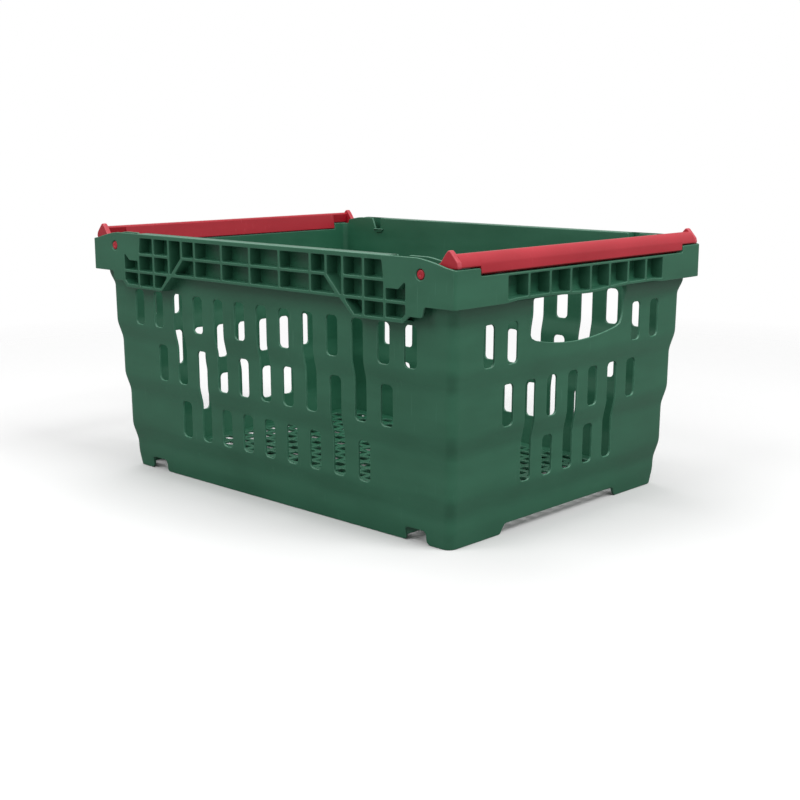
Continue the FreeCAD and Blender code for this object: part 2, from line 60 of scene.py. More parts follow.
half_l = reach("arm_pocket_front_right", 1, 0)
half_w = -reach("side_rim_front", 0, 1)
height = reach("side_rim_front", 1, 2)
deep_z = reach("side_rim_front", 0, 2)
skirt_z = reach("end_rim_right", 0, 2)
recess_z = reach("end_rim_right", 1, 2)
rim_depth = half_w + reach("side_rim_front", 1, 1)
plate_x = reach("side_rim_front", 1, 0)
split_x = reach("side_wall_front", 1, 0)
split_y = reach("end_wall_right", 1, 1)
end_field = reach("end_rim_right", 1, 1)
base_e = half_w + reach("side_wall_front", 1, 1)
floor_top = reach("floor_panel", 1, 2)
floor_low = reach("floor_panel", 0, 2)
frame_low = reach("floor_rib_frame", 0, 2)
frame_x = reach("floor_rib_frame", 1, 0)
seat_x = reach("arm_seat_front_right", 1, 0)
seat_low = reach("arm_seat_front_right", 0, 2)
seat_z = reach("arm_seat_front_right", 1, 2)
arm_x = reach("bale_arm_right", 1, 0)
right_swing = next(j for j in frame["joints"] if j["name"] == "arm_right_swing")
pivot_x, _, pivot_z = [v / MM for v in right_swing["pos_m"]]

# ---- the moulding's own sizes ----
WALL = 2.8
RIB = 3.2
RIM_R = 3.5
BODY_R = 10.0
EDGE = 0.7                # rounding of every moulded edge
STEP_IN = 4.6
DRAFT = 0.4
STEP_HALF = 10.0
FIRST_STEP = 43.2
TOP_BAND = 76.7
FLARE_H = 19.0
FLARE_OUT = 4.5
SKID_DRAFT = 2.5
SLOT_W = 17.4
SLOT_R = 5.5
SLOT_CLEAR = 10.9         # slot ends stay this far from the middle of a step
TOP_SLOT_CLEAR = 22.0     # and this far below the rim's skirt
SIDE_SLOT_MARGIN = 72.0   # from the outermost slots of a long wall to the crate's ends
END_SLOT_PITCH = 37.4
CHANNEL = 29.0
CHANNEL_H = 14.7
FOOT_LENGTH = 116.5
END_LIFT = 11.0           # the end walls stop this far above the surface, between the feet
HAND_HALF = 85.0
HAND_DROP = 46.3          # height of the hand hole's sides
HAND_SAG = 7.9            # its lower edge curves down this much
END_RIM_DROP = 9.5        # the end rims lie this much below the long ones
RECESS_IN = 38.0          # ends of the recess for the arm's lip, in from the long sides
POCKET_DROP = 29.7        # floor of the arm pockets, below the long rims
MID_RIB_DROP = 24.7
LOW_RIB_DROP = 45.7
TAB_DROP = 58.4
RIB_SPACING = 30.0
SHORT_CELL = 24.7         # width of the tall cell between the deep stretch and the middle
FLANGE_T = 4.8
FLOOR_PITCH_X = 26.0
FLOOR_PITCH_Y = 19.5
FLOOR_BAR = 7.0
LEG_T = 6.5
LEG_CLEAR = 2.2
HUB_R = 8.0
PIN_R = 4.8
PIN_HOLE_R = 5.9
REST_CLEAR = 0.7          # between the resting arm and the end rim
BAR_W = 16.0
BAR_END_W = 11.5
BAR_TOP = 5.0             # top of the bar, above the long rims
FIN_TOP = 10.3            # corner of the fin's outline, above the long rims
LIP_CLEAR = 1.0
inner_e = rim_depth + WALL
end_top = height - END_RIM_DROP
channel_x = seat_x - 1.5
recess_half = half_w - RECESS_IN
pocket_z = height - POCKET_DROP
slot_x = plate_x - 25.5
embed = rim_depth + 1.6   # how far the rim's ribs run back, into the wall behind them


# ---- outlines ----
def rounded(points, radius, count=4):
    """A closed outline with its corners turned into arcs. radius is one number or one for each point."""
    n = len(points)
    result = []
    for i, p in enumerate(points):
        r = radius[i] if isinstance(radius, (list, tuple)) else radius
        a = points[i - 1]
        b = points[(i + 1) % n]
        va = Vector((a[0] - p[0], a[1] - p[1]))
        vb = Vector((b[0] - p[0], b[1] - p[1]))
        if r <= 0 or va.length < 1e-6 or vb.length < 1e-6:
            result.append(p)
            continue
        turn = va.angle(vb)
        if turn > pi - 0.02:
            result.append(p)
            continue
        cut = min(r / np.tan(turn / 2), va.length * 0.49, vb.length * 0.49)
        r = cut * np.tan(turn / 2)
        start = Vector(p) + va.normalized() * cut
        end = Vector(p) + vb.normalized() * cut
        middle = Vector(p) + (va.normalized() + vb.normalized()).normalized() * hypot(r, cut)
        s = atan2(start.y - middle.y, start.x - middle.x)
        e = atan2(end.y - middle.y, end.x - middle.x)
        sweep = (e - s + pi) % (2 * pi) - pi
        for k in range(count + 1):
            a = s + sweep * k / count
            result.append((middle.x + r * cos(a), middle.y + r * sin(a)))
    return result


def divided(points, spacing, closed=True):
    """The same outline with no run longer than spacing."""
    result = []
    n = len(points)
    for i in range(n if closed else n - 1):
        a = points[i]
        b = points[(i + 1) % n]
        steps = max(1, int(np.ceil(hypot(b[0] - a[0], b[1] - a[1]) / spacing)))
        for k in range(steps):
            t = k / steps
            result.append((a[0] + (b[0] - a[0]) * t, a[1] + (b[1] - a[1]) * t))
    if not closed:
        result.append(points[-1])
    return result


def outward(points):
    """For each corner of a closed counter-clockwise outline, the direction that leaves it."""
    p = np.array(points, float)
    a = p - np.roll(p, 1, axis=0)
    b = np.roll(p, -1, axis=0) - p
    a /= np.maximum(np.linalg.norm(a, axis=1), 1e-9)[:, None]
    b /= np.maximum(np.linalg.norm(b, axis=1), 1e-9)[:, None]
    na = np.stack([a[:, 1], -a[:, 0]], 1)
    nb = np.stack([b[:, 1], -b[:, 0]], 1)
    m = na + nb
    m /= np.maximum(np.linalg.norm(m, axis=1), 1e-9)[:, None]
    scale = 1 / np.clip(np.sum(m * na, axis=1), 0.5, 1)
    return m * scale[:, None]


def inside(points, outline):
    """Which of the points lie in a closed outline."""
    p = np.array(points, float).reshape(-1, 2)
    o = np.array(outline, float)
    q = np.roll(o, -1, axis=0)
    hit = np.zeros(len(p), bool)
    for (x0, y0), (x1, y1) in zip(o, q):
        if y0 == y1:
            continue
        across = (y0 > p[:, 1]) != (y1 > p[:, 1])
        x = x0 + (p[:, 1] - y0) * (x1 - x0) / (y1 - y0)
        hit ^= across & (p[:, 0] < x)
    return hit


# ---- meshes from sheets with holes ----
class Shell:
    """Corners and faces of one piece, in millimetres."""

    def __init__(self):
        self.points = []
        self.faces = []
        self.edge = []

    def add(self, points, edge=0.0):
        """New corners. edge is 1 where they lie on the rounding of an edge."""
        start = len(self.points)
        self.points.extend(tuple(float(c) for c in p) for p in points)
        self.edge.extend([edge] * len(points))
        return list(range(start, len(self.points)))

    def strip(self, a, b):
        """Faces between two closed rows of corners."""
        for i in range(len(a)):
            j = (i + 1) % len(a)
            self.faces.append((a[i], a[j], b[j], b[i]))

    def include(self, other, x=1, y=1):
        """Adds another shell, mirrored in X or Y where the factor is -1."""
        start = len(self.points)
        self.points.extend((p[0] * x, p[1] * y, p[2]) for p in other.points)
        self.edge.extend(other.edge)
        flip = x * y < 0
        for f in other.faces:
            f = tuple(i + start for i in f)
            self.faces.append(tuple(reversed(f)) if flip else f)


def triangles(outer, holes, extra):
    """Triangles that fill an outline less its holes, with more points inside for an even mesh."""
    loops = [outer] + holes
    points = [p for loop in loops for p in loop]
    edges = []
    start = 0
    for loop in loops:
        n = len(loop)
        edges += [(start + i, start + (i + 1) % n) for i in range(n)]
        start += n
    if len(extra):
        keep = inside(extra, outer)
        for hole in holes:
            keep &= ~inside(extra, hole)
        extra = np.array(extra)[keep]
        rim = np.array(points)
        gap = np.full(len(extra), 1e9)
        for i in range(0, len(rim), 64):
            d = extra[:, None, :] - rim[None, i : i + 64, :]
            gap = np.minimum(gap, np.sqrt((d**2).sum(2)).min(1))
        extra = extra[gap > 2.0]
        points = points + [tuple(p) for p in extra]
    found = geometry.delaunay_2d_cdt([Vector(p) for p in points], edges, [], 0, 1e-7)
    place, _, faces, origin = found[0], found[1], found[2], found[3]
    name = [o[0] if o else None for o in origin]
    middle = np.array([np.mean([place[i] for i in f], axis=0) for f in faces])
    keep = inside(middle, outer)
    for hole in holes:
        keep &= ~inside(middle, hole)
    spread = np.array([[place[f[1]] - place[f[0]], place[f[2]] - place[f[0]]] for f in faces])
    keep &= np.abs(np.linalg.det(spread)) > 0.002
    result = []
    for f, k in zip(faces, keep):
        if k:
            f = tuple(name[i] for i in f)
            if None not in f:
                result.append(f)
    return points, result


def rounding(r, count=3):
    """Steps from a flat face round an edge: how far in from the edge, and how deep."""
    if r <= 0:
        return [(0.0, 0.0)]
    return [
        (r * (1 - sin(a)), r * (1 - cos(a)))
        for a in [pi / 2 * k / count for k in range(count + 1)]
    ]


def edge_steps(thick, r, back_r, draft):
    """The section of an edge. Without back_r it ends open, and narrows by draft on the way."""
    steps = rounding(r)
    if back_r is None:
        return steps + [(-draft, thick)]
    return steps + [(d, thick - h) for d, h in reversed(rounding(back_r))]


def sheet(shell, outline, place, thick, seams=(), holes=(), extra=(), r=EDGE, back_r=EDGE, draft=0.0):
    """A moulded wall: one or two faces, and rounded edges round its outline and its holes.

    seams holds the runs of the outline, by their first corner, that meet another wall and stay open.
    place(u, v, depth) gives the point in space. thick is a number, or a function of (u, v, hole).
    """
    n = len(outline)
    out = outward(outline)
    free = [i not in seams for i in range(n)]
    moves = []
    for i in range(n):
        before = free[i - 1]
        after = free[i]
        if before and after:
            moves.append(-out[i])
        elif before or after:
            other = outline[(i + 1) % n] if not after else outline[i - 1]
            along = Vector((other[0] - outline[i][0], other[1] - outline[i][1])).normalized()
            moves.append(np.array(along))
        else:
            moves.append(np.zeros(2))
    moves = np.array(moves)
    loops = [(np.array(outline), moves, True, -1)]
    loops += [(np.array(h), outward(h), False, k) for k, h in enumerate(holes)]
    first = [[tuple(p) for p in base + move * r] for base, move, _, _ in loops]
    flat, faces = triangles(first[0], first[1:], extra)
    front = shell.add([place(u, v, 0.0) for u, v in flat])
    shell.faces += [tuple(front[i] for i in f) for f in faces]
    depth_of = thick if callable(thick) else (lambda u, v, hole: thick)
    if back_r is not None:
        rear = shell.add([place(u, v, depth_of(u, v, -1)) for u, v in flat])
        shell.faces += [tuple(rear[i] for i in reversed(f)) for f in faces]
    start = 0
    for base, move, outer, hole in loops:
        count = len(base)
        ring = front[start : start + count]
        sections = [edge_steps(depth_of(u, v, hole), r, back_r, 0.0 if outer else draft) for u, v in base]
        rows = [ring]
        for k in range(1, len(sections[0])):
            row = []
            for i in range(count):
                d, h = sections[i][k]
                p = base[i] + move[i] * d
                row.append(place(p[0], p[1], h))
            last = k == len(sections[0]) - 1
            rows.append(shell.add(row, 0.0 if last else 1.0))
        if back_r is not None and back_r == r:
            rows[-1] = rear[start : start + count]
        start += count
        for a, b in zip(rows, rows[1:]):
            for i in range(count):
                if outer and not free[i]:
                    continue
                j = (i + 1) % count
                shell.faces.append((a[j], a[i], b[i], b[j]) if outer else (a[i], a[j], b[j], b[i]))


def as_object(name, shell, material, bevel=0.0):
    """A mesh object from a shell: corners joined, faces turned outwards."""
    mesh = bpy.data.meshes.new(name)
    mesh.from_pydata([tuple(c * MM for c in p) for p in shell.points], [], shell.faces)
    # This mask of the rounded edges drives their wear and their painted highlight.
    worn_and_highlit = mesh.attributes.new("edge", "FLOAT", "POINT")
    worn_and_highlit.data.foreach_set("value", shell.edge)
    bm = bmesh.new()
    bm.from_mesh(mesh)
    bmesh.ops.remove_doubles(bm, verts=bm.verts, dist=2e-6)
    bmesh.ops.dissolve_degenerate(bm, edges=bm.edges, dist=1e-6)
    loose = [v for v in bm.verts if not v.link_faces]
    bmesh.ops.delete(bm, geom=loose, context="VERTS")
    bmesh.ops.recalc_face_normals(bm, faces=bm.faces)
    bm.to_mesh(mesh)
    bm.free()
    for polygon in mesh.polygons:
        polygon.use_smooth = True
    obj = bpy.data.objects.new(name, mesh)
    bpy.context.scene.collection.objects.link(obj)
    obj.data.materials.append(material)
    if bevel:
        rounding_off = obj.modifiers.new("rounded_edges", "BEVEL")
        rounding_off.width = bevel * MM
        rounding_off.segments = 3
        rounding_off.angle_limit = radians(28.0)
    weighted = obj.modifiers.new("even_shading", "WEIGHTED_NORMAL")
    weighted.weight = 60
    return obj


# ---- wall profile ----
step_pitch = (skirt_z - TOP_BAND - FIRST_STEP) / 2
steps = [FIRST_STEP + i * step_pitch for i in range(3)]


def profile_points():
    """The wall's outer face: height and inset, from the top down, with sharp bends."""
    inset = rim_depth
    levels = [(height, inset), (skirt_z - FLARE_H - 2.0, inset)]
    for z in reversed(steps):
        inset += DRAFT
        levels.append((z + STEP_HALF, inset))
        inset += STEP_IN
        levels.append((z - STEP_HALF, inset))
    inset += DRAFT
    levels.append((floor_top, inset))
    levels.append((0.0, inset + SKID_DRAFT))
    return list(reversed(levels))


def soft_bends(levels, reach_z, count=4):
    """The same line with each bend eased over reach_z each way."""
    result = [levels[0]]
    for (z0, e0), (z1, e1), (z2, e2) in zip(levels, levels[1:], levels[2:]):
        a = min(reach_z, (z1 - z0) * 0.45)
        b = min(reach_z, (z2 - z1) * 0.45)
        start = (z1 - a, e1 + (e0 - e1) * a / (z1 - z0))
        end = (z1 + b, e1 + (e2 - e1) * b / (z2 - z1))
        for k in range(count + 1):
            t = k / count
            z = (1 - t) ** 2 * start[0] + 2 * t * (1 - t) * z1 + t * t * end[0]
            e = (1 - t) ** 2 * start[1] + 2 * t * (1 - t) * e1 + t * t * end[1]
            result.append((z, e))
    return result + [levels[-1]]


outer_line = np.array(soft_bends(profile_points(), 5.0))
inner_levels = [(z, e + WALL) for z, e in profile_points() if z > floor_top + 1.0]
inner_line = np.array(soft_bends([(0.0, base_e), (floor_top, base_e)] + inner_levels, 5.0))


def flare(z):
    """How far the wall runs out under the rim's skirt, from 0 to 1."""
    start = skirt_z - FLARE_H - 2.0
    t = min(max((z - start) / (skirt_z - 2.0 - start), 0.0), 1.0)
    return t * t * (3 - 2 * t) if z < skirt_z + 0.05 else 0.0


def inset_at(z, depth, flared=0.0):
    outer = np.interp(z, outer_line[:, 0], outer_line[:, 1]) - FLARE_OUT * flared * flare(z)
    inner = np.interp(z, inner_line[:, 0], inner_line[:, 1])
    return outer + (inner - outer) * depth / WALL


def level_heights(top):
    """Heights of the mesh's rows: close together on the bends, wider on the bands."""
    wanted = sorted(set([round(float(z), 3) for z in outer_line[:, 0] if z < top]))
    wanted += [skirt_z - 20.0 + 3.0 * k for k in range(7)]
    wanted = sorted(w for w in wanted if 1.5 < w < top - 1.5)
    result = [0.0]
    for z in wanted + [top]:
        gap = z - result[-1]
        if gap < 1.4 and z < top:
            continue
        parts = max(1, int(round(gap / 9.0)))
        result += [result[-1] + gap * (k + 1) / parts for k in range(parts)]
    return result


# ---- slots ----
row_a = (steps[2] + SLOT_CLEAR, skirt_z - TOP_SLOT_CLEAR)
row_b = (steps[1] + SLOT_CLEAR, steps[2] - SLOT_CLEAR)
row_c = (steps[0] + SLOT_CLEAR, steps[1] - SLOT_CLEAR)


def slot_spans(pitch, last_a, last_b, last_c, joined_ab, joined_bc, first_a=0):
    """Places and heights of the slots of one wall. Joined ones run on over a step."""
    spans = []
    for k in range(-last_a, last_a + 1):
        if abs(k) >= first_a:
            low = row_b[0] if abs(k) in joined_ab else row_a[0]
            spans.append((k * pitch, low, row_a[1]))
    for k in range(-last_b, last_b + 1):
        if abs(k) not in joined_ab:
            low = row_c[0] if abs(k) in joined_bc else row_b[0]
            spans.append((k * pitch, low, row_b[1]))
    for k in range(-last_c, last_c + 1):
        if abs(k) not in joined_bc:
            spans.append((k * pitch, row_c[0], row_c[1]))
    return spans


def slot_loop(u, low, high, levels):
    """A slot with rounded corners, counter-clockwise, with a point at each row of the mesh."""
    half = SLOT_W / 2
    across = half - SLOT_R
    rows = [z for z in levels if low + SLOT_R + 1.0 < z < high - SLOT_R - 1.0]

    def turn(cu, cz, start):
        angles = np.linspace(start, start + pi / 2, 6)
        return [(cu + SLOT_R * cos(a), cz + SLOT_R * sin(a)) for a in angles]

    loop = turn(u - across, low + SLOT_R, -pi) + turn(u + across, low + SLOT_R, -pi / 2)
    loop += [(u + half, z) for z in rows]
    loop += turn(u + across, high - SLOT_R, 0.0) + turn(u - across, high - SLOT_R, pi / 2)
    loop += [(u - half, z) for z in reversed(rows)]
    return loop


def grid(us, vs):
    return [(u, v) for v in vs for u in us]


# ---- walls ----
levels = level_heights(skirt_z)
upper = [skirt_z + 8.0 * k for k in range(1, 6)]


def chained(points, spacing, seam_levels, left, right):
    """Divides an outline, but gives its upright runs at left and right the wall's own rows."""
    result = []
    seams = []
    n = len(points)
    for i in range(n):
        a = points[i]
        b = points[(i + 1) % n]
        on_seam = abs(a[0] - b[0]) < 1e-6 and (abs(a[0] - left) < 1e-6 or abs(a[0] - right) < 1e-6)
        if on_seam:
            low, high = sorted((a[1], b[1]))
            rows = [z for z in seam_levels if low + 1.2 < z < high - 1.2]
            rows = rows if b[1] > a[1] else list(reversed(rows))
            run = [a] + [(a[0], z) for z in rows]
            seams += list(range(len(result), len(result) + len(run)))
        else:
            run = divided([a, b], spacing, closed=False)[:-1]
        result += run
    return result, set(seams)


def channel_points(side):
    """The notch in a long wall's lower edge, over the arm of the crate below, left to right."""
    half = CHANNEL / 2
    inner = [(channel_x - half, 0.0), (channel_x - half, CHANNEL_H), (channel_x + half, CHANNEL_H)]
    inner.append((channel_x + half, 0.0))
    return inner if side > 0 else [(-x, z) for x, z in reversed(inner)]


def notch_points(side):
    """The notch in a long wall's upper edge that takes a swung-in arm."""
    notch = [(channel_x + 6.0, height), (channel_x - 0.7, seat_z), (channel_x - 10.2, seat_z)]
    notch.append((channel_x - 10.2, height))
    return notch if side > 0 else [(-x, z) for x, z in reversed(notch)]


def side_wall():
    """Long wall at -Y, from the skid to the top of the rim."""
    corners = [(-split_x, 0.0)] + channel_points(-1) + channel_points(1) + [(split_x, 0.0)]
    corners += [(split_x, height)] + notch_points(1) + notch_points(-1) + [(-split_x, height)]
    radii = [0.0, 7.0, 4.0, 4.0, 3.0, 3.0, 4.0, 4.0, 7.0, 0.0]
    radii += [0.0, 1.5, 1.5, 1.0, 1.5, 1.5, 1.0, 1.5, 1.5, 0.0]
    outline = rounded(corners, radii)
    outline, seams = chained(outline, 7.0, levels + upper, -split_x, split_x)
    pitch = (half_l - SIDE_SLOT_MARGIN) / 6
    spans = slot_spans(pitch, 6, 5, 4, (0, 2, 4), (3,))
    holes = [slot_loop(u, low, high, levels) for u, low, high in spans]
    us = np.linspace(-split_x, split_x, 71)[1:-1]
    shell = Shell()

    def place(u, z, depth):
        return (u, -(half_w - inset_at(z, depth)), z)

    sheet(shell, outline, place, WALL, seams, holes, grid(us, levels[1:] + upper))
    return shell


def hand_hole():
    """Outline of the hand hole in (across, up): a lower edge that sags between round corners."""
    side_z = skirt_z - HAND_DROP
    flat = HAND_HALF - 11.5
    loop = []
    for t in np.linspace(-1, 1, 25):
        loop.append((flat * t, side_z - HAND_SAG * (1 - t * t)))
    right = [(HAND_HALF - 4.7, side_z + 3.0), (HAND_HALF - 1.1, side_z + 9.0)]
    right += [(HAND_HALF, side_z + z) for z in (16.0, 24.0, 32.0, 40.0)]
    loop += right
    top = skirt_z - 1.2
    loop += [(HAND_HALF - 1.0, top - 1.0), (HAND_HALF - 2.5, top)]
    loop += [(u, top) for u in np.linspace(HAND_HALF - 9.0, 9.0 - HAND_HALF, 20)]
    loop += [(2.5 - HAND_HALF, top), (1.0 - HAND_HALF, top - 1.0)]
    loop += [(-u, z) for u, z in reversed(right)]
    return loop


def end_wall():
    """End wall at +X, from the feet to the recess in the rim."""
    foot = half_w - FOOT_LENGTH
    corners = [(-split_y, 0.0), (-foot - 3.0, 0.0), (-foot + 3.0, END_LIFT)]
    corners += [(foot - 3.0, END_LIFT), (foot + 3.0, 0.0), (split_y, 0.0)]
    corners += [(split_y, recess_z), (-split_y, recess_z)]
    outline = rounded(corners, [0.0, 3.0, 4.0, 4.0, 3.0, 0.0, 0.0, 0.0])
    outline, seams = chained(outline, 7.0, levels + upper, -split_y, split_y)
    spans = slot_spans(END_SLOT_PITCH, 4, 3, 2, (), (0, 2), first_a=3)
    holes = [slot_loop(u, low, high, levels) for u, low, high in spans] + [hand_hole()]
    us = np.linspace(-split_y, split_y, 43)[1:-1]
    shell = Shell()

    def place(u, z, depth):
        return (half_l - inset_at(z, depth, 1.0), u, z)

    rows = levels[1:] + [z for z in upper if z < recess_z]
    sheet(shell, outline, place, WALL, seams, holes, grid(us, rows))
    return shell


def shoulder_z(x):
    """Top of the long rim near its end, where it eases down to the end rim."""
    knots = [0.0, half_l - 50.0, half_l - 44.5, half_l - 32.0, half_l - 19.0, half_l - 13.0, half_l]
    drops = [0.0, 0.0, 0.5, 2.6, 5.6, 7.3, END_RIM_DROP]
    return height - float(np.interp(x, knots, drops))


CORNER_RUN = 40.0         # stretch of the corner's own measure given to each straight part
CORNER_ARC = 16.0


def corner_place(s, z, depth):
    """Point on the corner at (+X, -Y). s runs from the long wall round to the end wall."""
    flared = min(max((s - 10.0) / 12.0, 0.0), 1.0)
    e = inset_at(z, depth, flared * flared * (3 - 2 * flared))
    r = BODY_R - depth
    cx = half_l - e - r
    cy = half_w - e - r
    if s <= CORNER_RUN:
        t = s / CORNER_RUN
        return (split_x + (cx - split_x) * t, -(half_w - e), z)
    if s <= CORNER_RUN + CORNER_ARC:
        a = (s - CORNER_RUN) / CORNER_ARC * pi / 2
        return (cx + r * sin(a), -cy - r * cos(a), z)
    t = (s - CORNER_RUN - CORNER_ARC) / CORNER_RUN
    return (half_l - e, -cy + (cy - split_y) * t, z)


def corner_post():
    """Corner at (+X, -Y), with the wall behind the arm pocket."""
    end = 2 * CORNER_RUN + CORNER_ARC
    top = []
    for s in np.linspace(0.0, end, 33):
        x, y, _ = corner_place(s, height, WALL)
        z = shoulder_z(x)
        if x > half_l - inner_e - 1.0 or s > CORNER_RUN:
            z = end_top
        if s > CORNER_RUN + CORNER_ARC and -y < recess_half:
            z = recess_z
        top.append((float(s), z))
    step = [i for i in range(1, len(top)) if top[i][1] == recess_z and top[i - 1][1] == end_top]
    if step:
        i = step[0]
        top.insert(i, (top[i][0] - 0.3, end_top))
    outline = divided([(0.0, 0.0), (end, 0.0)], 3.0, closed=False) + list(reversed(top))
    outline, seams = chained(outline, 9.0, levels + upper, 0.0, end)
    ss = list(np.linspace(0.0, CORNER_RUN, 9)[1:-1])
    ss += list(np.linspace(CORNER_RUN, CORNER_RUN + CORNER_ARC, 9))
    ss += list(np.linspace(CORNER_RUN + CORNER_ARC, end, 7)[1:-1])
    shell = Shell()
    sheet(shell, outline, corner_place, WALL, seams, (), grid(ss, levels[1:] + upper))
    return shell


def body_walls():
    """The whole wall of the body as one closed shell."""
    whole = Shell()
    side = side_wall()
    end = end_wall()
    post = corner_post()
    for sign in (1, -1):
        whole.include(side, y=sign)
        whole.include(end, x=sign)
        for other in (1, -1):
            whole.include(post, x=sign, y=other)
    return whole


# ---- rim ----
# The rim is drawn flat and wrapped round the crate: across is X from the middle of the long side
# to the corner, then on round the corner to the middle of the end.
turn_start = half_l - RIM_R
turn_end = turn_start + RIM_R * pi / 2
round_end = turn_end + half_w - RIM_R
corner_turn = [turn_start + (turn_end - turn_start) * k / 5 for k in range(6)]
PLATE_FRONT = 1.4         # depth at which a thin plate's front half meets its back half
END_BLOCK = 8.0


def rim_place(s, z, depth):
    """Point on the rim at (+X, -Y)."""
    if s <= turn_start:
        return (s, -half_w + depth, z)
    if s < turn_end:
        a = (s - turn_start) / RIM_R
        r = RIM_R - depth
        return (turn_start + r * sin(a), -half_w + RIM_R - r * cos(a), z)
    return (half_l - depth, s - round_end, z)


def rim_place_behind(s, z, depth):
    return rim_place(s, z, depth + PLATE_FRONT)


def skirt_low(s):
    """Lower edge of the end rim, which hangs a little lower over the hand hole."""
    y = abs(s - round_end)
    rise = 1.7 * min(max((end_field - y) / 20.0, 0.0), 1.0)
    dip = 3.0 * cos(pi * y / 144.0) ** 2 if y < 72.0 else 0.0
    return skirt_z + rise - dip


mid_z = height - MID_RIB_DROP
low_z = height - LOW_RIB_DROP
tab_z = height - TAB_DROP
deep_ribs = [plate_x + RIB / 2 - i * RIB_SPACING for i in (3, 2, 1, 0)]
mid_ribs = [deep_ribs[0] * i / 3 for i in range(3)]
slant_x = deep_ribs[0] - SHORT_CELL
long_edge = [
    (deep_ribs[0] - 4.7, skirt_z),
    (deep_ribs[0] + 15.3, deep_z),
    (plate_x - 3.0, deep_z),
    (plate_x + 5.0, tab_z),
    (half_l - 43.0, tab_z),
    (half_l - 40.0, skirt_z),
]


def rim_outline():
    """The rim's outline with the turns of its corners, from the middle of the side."""
    points = [(0.0, skirt_z)]
    radii = [0.0]
    for p in long_edge:
        points.append(p)
        radii.append(3.0)
    for s in corner_turn:
        points.append((s, skirt_z))
        radii.append(0.0)
    for s in np.linspace(round_end - split_y, round_end, 19):
        points.append((float(s), skirt_low(s)))
        radii.append(0.0)
    recess = round_end - recess_half
    tops = [(round_end, recess_z), (recess, recess_z), (recess, end_top)]
    points += tops
    radii += [0.0, 2.0, 2.0]
    for s in reversed(corner_turn):
        points.append((s, shoulder_z(s) if s < half_l - 1.0 else end_top))
        radii.append(0.0)
    for back in (5.0, 9.0, 13.0, 16.0, 19.0, 22.0, 26.0, 31.0, 36.0, 41.0, 46.0, 50.0):
        x = half_l - back
        points.append((x, shoulder_z(x)))
        radii.append(0.0)
    points += [(slot_x, height), (slot_x - 0.2, height), (0.0, height)]
    radii += [0.0, 0.0, 0.0]
    return rounded(points, radii, 3)


def long_cells():
    """Outlines of the open cells of the long rim, in (X, Z), for X > 0."""
    w = RIB / 2
    top = height - FLANGE_T
    lean = mid_z - low_z
    cells = []

    def box(left, right, low, high, cut=0.0):
        cells.append([(left, low), (right, low), (right - cut, high), (left, high)])

    for a, b in zip(mid_ribs, mid_ribs[1:]):
        box(a + w, b - w, mid_z + w, top)
        box(a + w, b - w, low_z + w, mid_z - w)
    last = mid_ribs[-1] + w
    edge = slant_x - w
    box(last, edge, mid_z + w, top)
    cells.append([(last, low_z + w), (edge + lean - 5, low_z + w), (edge - 1, mid_z - w), (last, mid_z - w)])
    tall = deep_ribs[0] - w
    start = slant_x + w
    cells.append([(start, mid_z), (tall, mid_z - tall + start), (tall, top), (start, top)])
    for n, (a, b) in enumerate(zip(deep_ribs, deep_ribs[1:])):
        left = a + w
        right = b - w
        low = low_z - w
        bottom = deep_z + RIB
        if n < 2:
            box(left, right, mid_z + w, top, 2.6 * n)
            box(left, right, low_z + w, mid_z - w)
        else:
            step = [(right, pocket_z + 5.5), (right - 10.0, pocket_z - WALL), (left, pocket_z - WALL)]
            cells.append([(left, low_z + w), (right, low_z + w)] + step)
        if n == 0:
            cells.append([(left + 1.0, low), (left + 15.0, bottom), (right, bottom), (right, low)])
        elif n == 1:
            box(left, right, bottom, low)
        else:
            corner = [(right - 6.0, bottom + 1.0), (right, bottom + 6.0)]
            cells.append([(left, bottom + 1.0)] + corner + [(right, low), (left, low)])
    return cells


def end_cells():
    """Outlines of the open cells of the end rim, up to its middle."""
    pitch = (end_field - 1.5) / 4
    cells = []
    for i in range(-4, 0):
        left = round_end + i * pitch + RIB / 2
        right = left + pitch - RIB
        low = [left + (right - left) * k / 4 for k in range(5)]
        edge = [(s, skirt_low(s) + RIB) for s in low]
        cells.append(edge + [(right, recess_z - 2.4), (left, recess_z - 2.4)])
    return cells


def circle(u, v, r, count=24):
    return [(u + r * cos(2 * pi * k / count), v + r * sin(2 * pi * k / count)) for k in range(count)]


def rim_quarter():
    """The rim at (+X, -Y), from the middle of the side to the middle of the end."""
    outline = rim_outline()
    outline, seams = chained(outline, 8.0, [skirt_z + 9.0 * k for k in range(6)], 0.0, round_end)
    cells = [rounded(c, 1.3, 2) for c in long_cells() + end_cells()]
    pivot = circle(pivot_x, pivot_z, PIN_HOLE_R)
    shell = Shell()

    def thick(s, z, hole):
        if hole == len(cells):
            return PLATE_FRONT
        if hole >= 0 or s < (slot_x - 0.1 if z > pivot_z else plate_x):
            return embed
        if s <= turn_end:
            return PLATE_FRONT
        return END_BLOCK if s - round_end < rim_depth - half_w else embed

    extra = grid(corner_turn, np.linspace(skirt_z + 5.0, end_top - 5.0, 6))
    extra += grid(np.linspace(plate_x + 8.0, half_l - 14.0, 6), np.linspace(skirt_z + 6.0, end_top, 6))
    sheet(shell, outline, rim_place, thick, seams, cells + [pivot], extra, back_r=None, draft=0.5)
    low_part = [p for p in outline if p[1] < pivot_z and plate_x + 0.6 <= p[0] <= turn_end]
    top_part = [p for p in outline if p[1] > pivot_z and slot_x <= p[0] <= turn_end]
    start = [(slot_x, pocket_z - 1.1), (plate_x - 10.8, pocket_z - 1.1), (plate_x + 0.6, pocket_z + 7.6)]
    behind = start + low_part + top_part
    sheet(shell, behind, rim_place_behind, WALL - PLATE_FRONT, (), [pivot], extra, r=0.0, back_r=0.6)
    return shell


